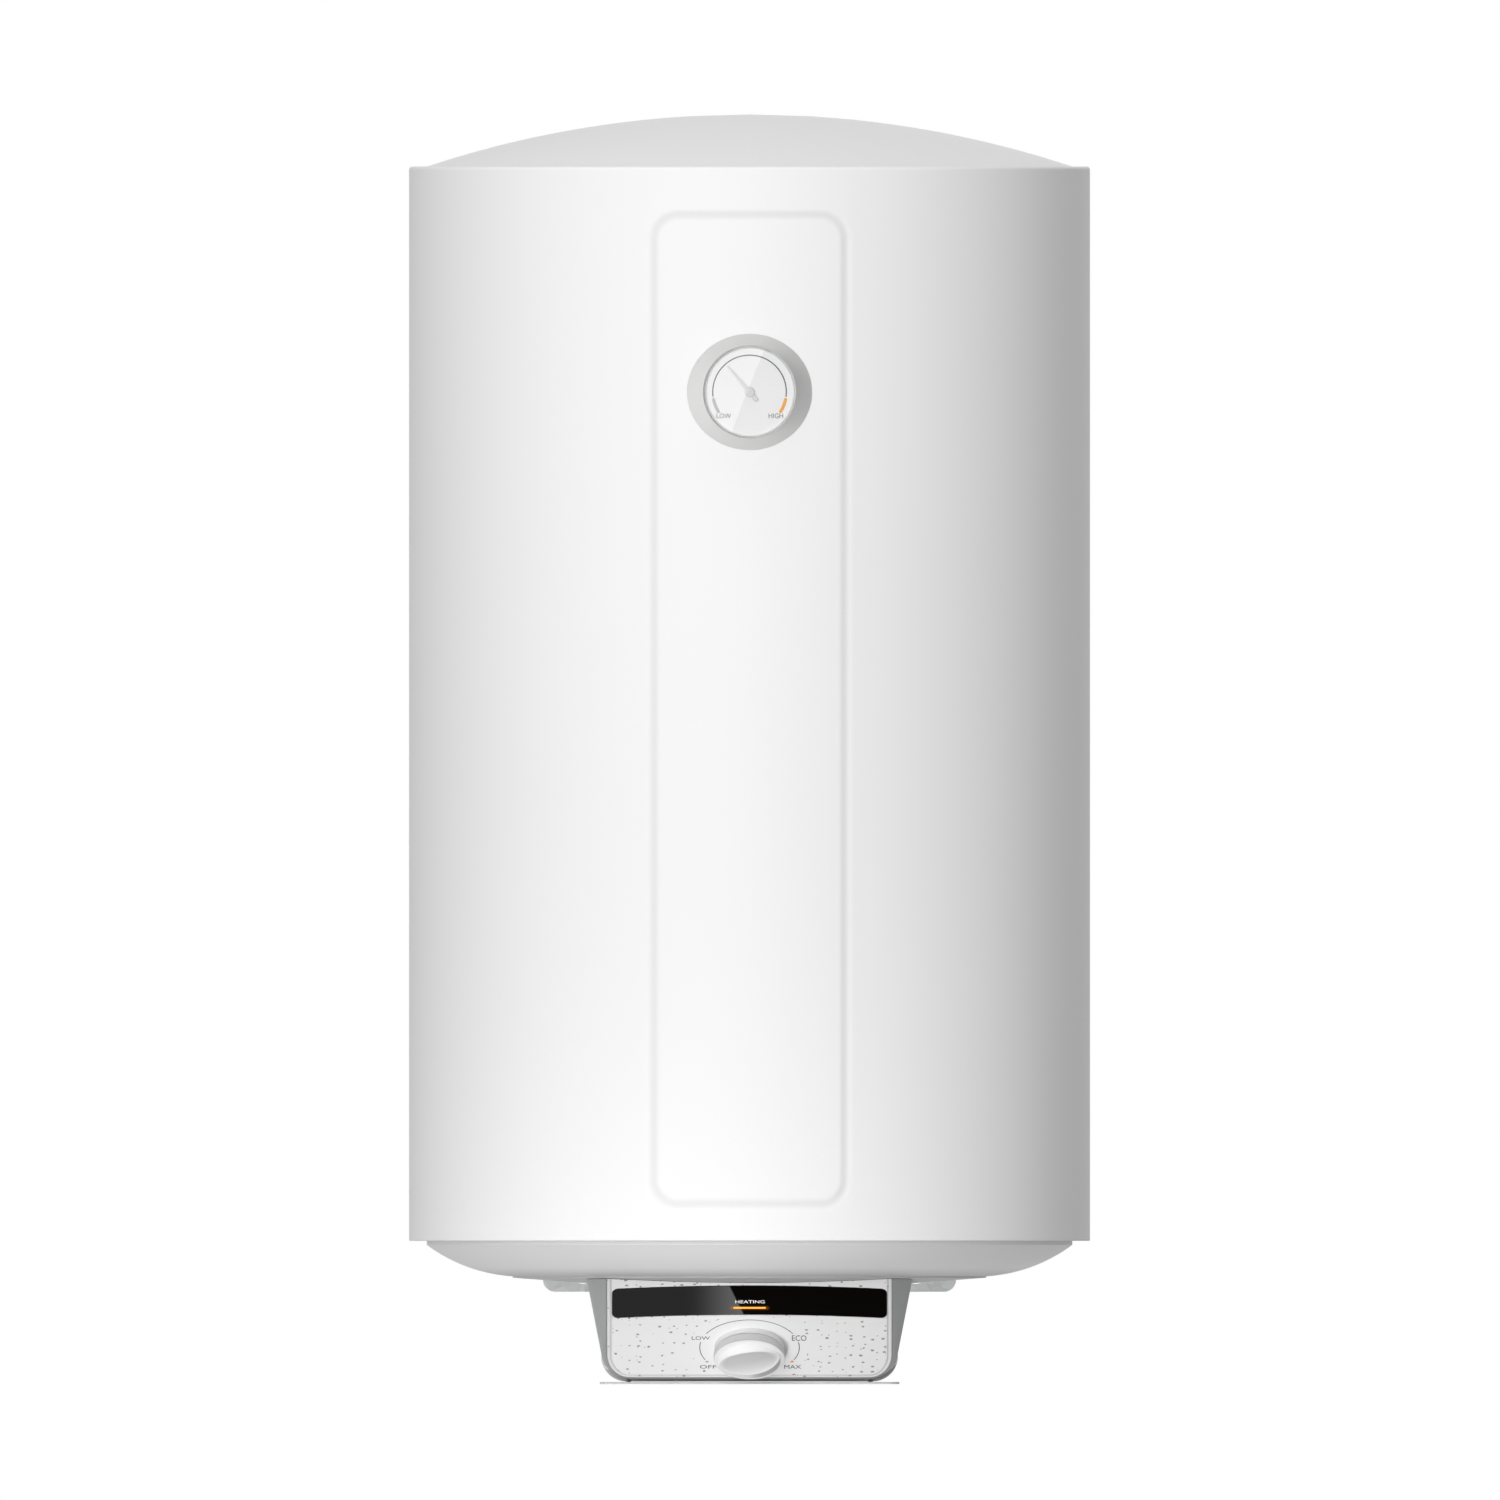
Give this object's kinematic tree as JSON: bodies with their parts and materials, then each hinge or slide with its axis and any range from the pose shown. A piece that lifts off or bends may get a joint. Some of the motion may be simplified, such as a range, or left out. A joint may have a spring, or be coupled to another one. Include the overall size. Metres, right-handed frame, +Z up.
{
  "type": "electric tank water heater",
  "caption": "Wall-hung electric storage water heater: white round jacket, domed top, temperature gauge, sloping control panel with a knob, pipe stubs and wall brackets.",
  "frame": {"origin": "centre of the upper wall bracket's back face, on the wall plane", "axes": "+Y into the wall, so the front faces -Y; +Z up, along the tank's axis; +X to the right seen from the front"},
  "size_m": [0.45, 0.48, 0.839],
  "materials": {
    "white_paint": "satin",
    "white_cover": "satin",
    "foam": "matte",
    "enamelled_steel": "gloss",
    "zinc_steel": "satin",
    "bracket_steel": "satin",
    "rubber_seal": "matte",
    "copper": "satin",
    "anode_magnesium": "matte",
    "brass_movement": "satin",
    "inner_white_plastic": "satin",
    "cold_blue_plastic": "satin",
    "hot_red_plastic": "satin",
    "box_grey_plastic": "satin",
    "black_plastic": "satin",
    "reset_red_plastic": "satin",
    "panel_speckled_plastic": "satin",
    "display_black": "gloss",
    "indicator_amber": "satin",
    "circuit_board": "satin",
    "live_wire_brown": "satin",
    "neutral_wire_blue": "satin",
    "knob_grey_plastic": "satin",
    "knob_white_plastic": "satin",
    "bezel_silver": "satin",
    "dial_white": "satin",
    "needle_white": "satin",
    "lens_clear": "gloss"
  },
  "bodies": {
    "heater": {"outer_jacket": "white_paint", "top_cover": "white_cover", "bottom_cover": "white_cover", "insulation_foam": "foam", "tank_barrel": "enamelled_steel", "tank_upper_head": "enamelled_steel", "tank_lower_head": "enamelled_steel", "flange_neck": "enamelled_steel", "flange_plate": "zinc_steel", "flange_bolt_1": "zinc_steel", "flange_bolt_2": "zinc_steel", "flange_bolt_3": "zinc_steel", "flange_bolt_4": "zinc_steel", "anode_nut": "zinc_steel", "cold_inlet_pipe": "zinc_steel", "hot_outlet_pipe": "zinc_steel", "access_screw_1": "zinc_steel", "access_screw_2": "zinc_steel", "access_screw_3": "zinc_steel", "access_screw_4": "zinc_steel", "upper_wall_bracket": "bracket_steel", "lower_wall_bracket": "bracket_steel", "upper_bracket_arm_left": "bracket_steel", "upper_bracket_arm_right": "bracket_steel", "lower_bracket_arm_left": "bracket_steel", "lower_bracket_arm_right": "bracket_steel", "flange_gasket": "rubber_seal", "heating_element": "copper", "thermostat_pocket": "copper", "thermostat_rod": "copper", "gauge_capillary": "copper", "gauge_sensor_bulb": "copper", "anode_rod": "anode_magnesium", "gauge_movement": "brass_movement", "inlet_diffuser": "inner_white_plastic", "hot_riser_tube": "inner_white_plastic", "terminal_block": "inner_white_plastic", "cold_inlet_ring": "cold_blue_plastic", "hot_outlet_ring": "hot_red_plastic", "control_box_housing": "box_grey_plastic", "access_cover": "box_grey_plastic", "cable_gland": "black_plastic", "thermostat_body": "black_plastic", "safety_cutout": "black_plastic", "gauge_case": "black_plastic", "control_panel": "panel_speckled_plastic", "display_window": "display_black", "heating_indicator": "indicator_amber", "indicator_board": "circuit_board", "live_wire": "live_wire_brown", "neutral_wire": "neutral_wire_blue", "gauge_bezel": "bezel_silver", "gauge_dial": "dial_white", "gauge_lens": "lens_clear"},
    "knob": {"knob_cap": "knob_white_plastic", "knob_skirt": "knob_grey_plastic", "thermostat_spindle": "zinc_steel"},
    "needle": {"gauge_needle": "needle_white", "gauge_arbor": "zinc_steel"},
    "button": {"reset_button": "reset_red_plastic"}
  },
  "joints": [
    {"name": "knob_turn", "type": "hinge", "parent": "heater", "child": "knob", "pos_m": [0, -0.29529, -0.61033], "axis": [0, -0.5519, -0.8339], "range_deg": [-50.3, 192.3]},
    {"name": "gauge_needle_turn", "type": "hinge", "parent": "heater", "child": "needle", "pos_m": [0, -0.475, 0.021], "axis": [0, -1, 0], "range_deg": [-163.9, 82.9]},
    {"name": "reset_button_press", "type": "slide", "parent": "heater", "child": "button", "axis": [0, 0, 1], "range_m": [0, 0.002], "stiffness_N_per_m": 600, "springref_m": -0.001}
  ]
}
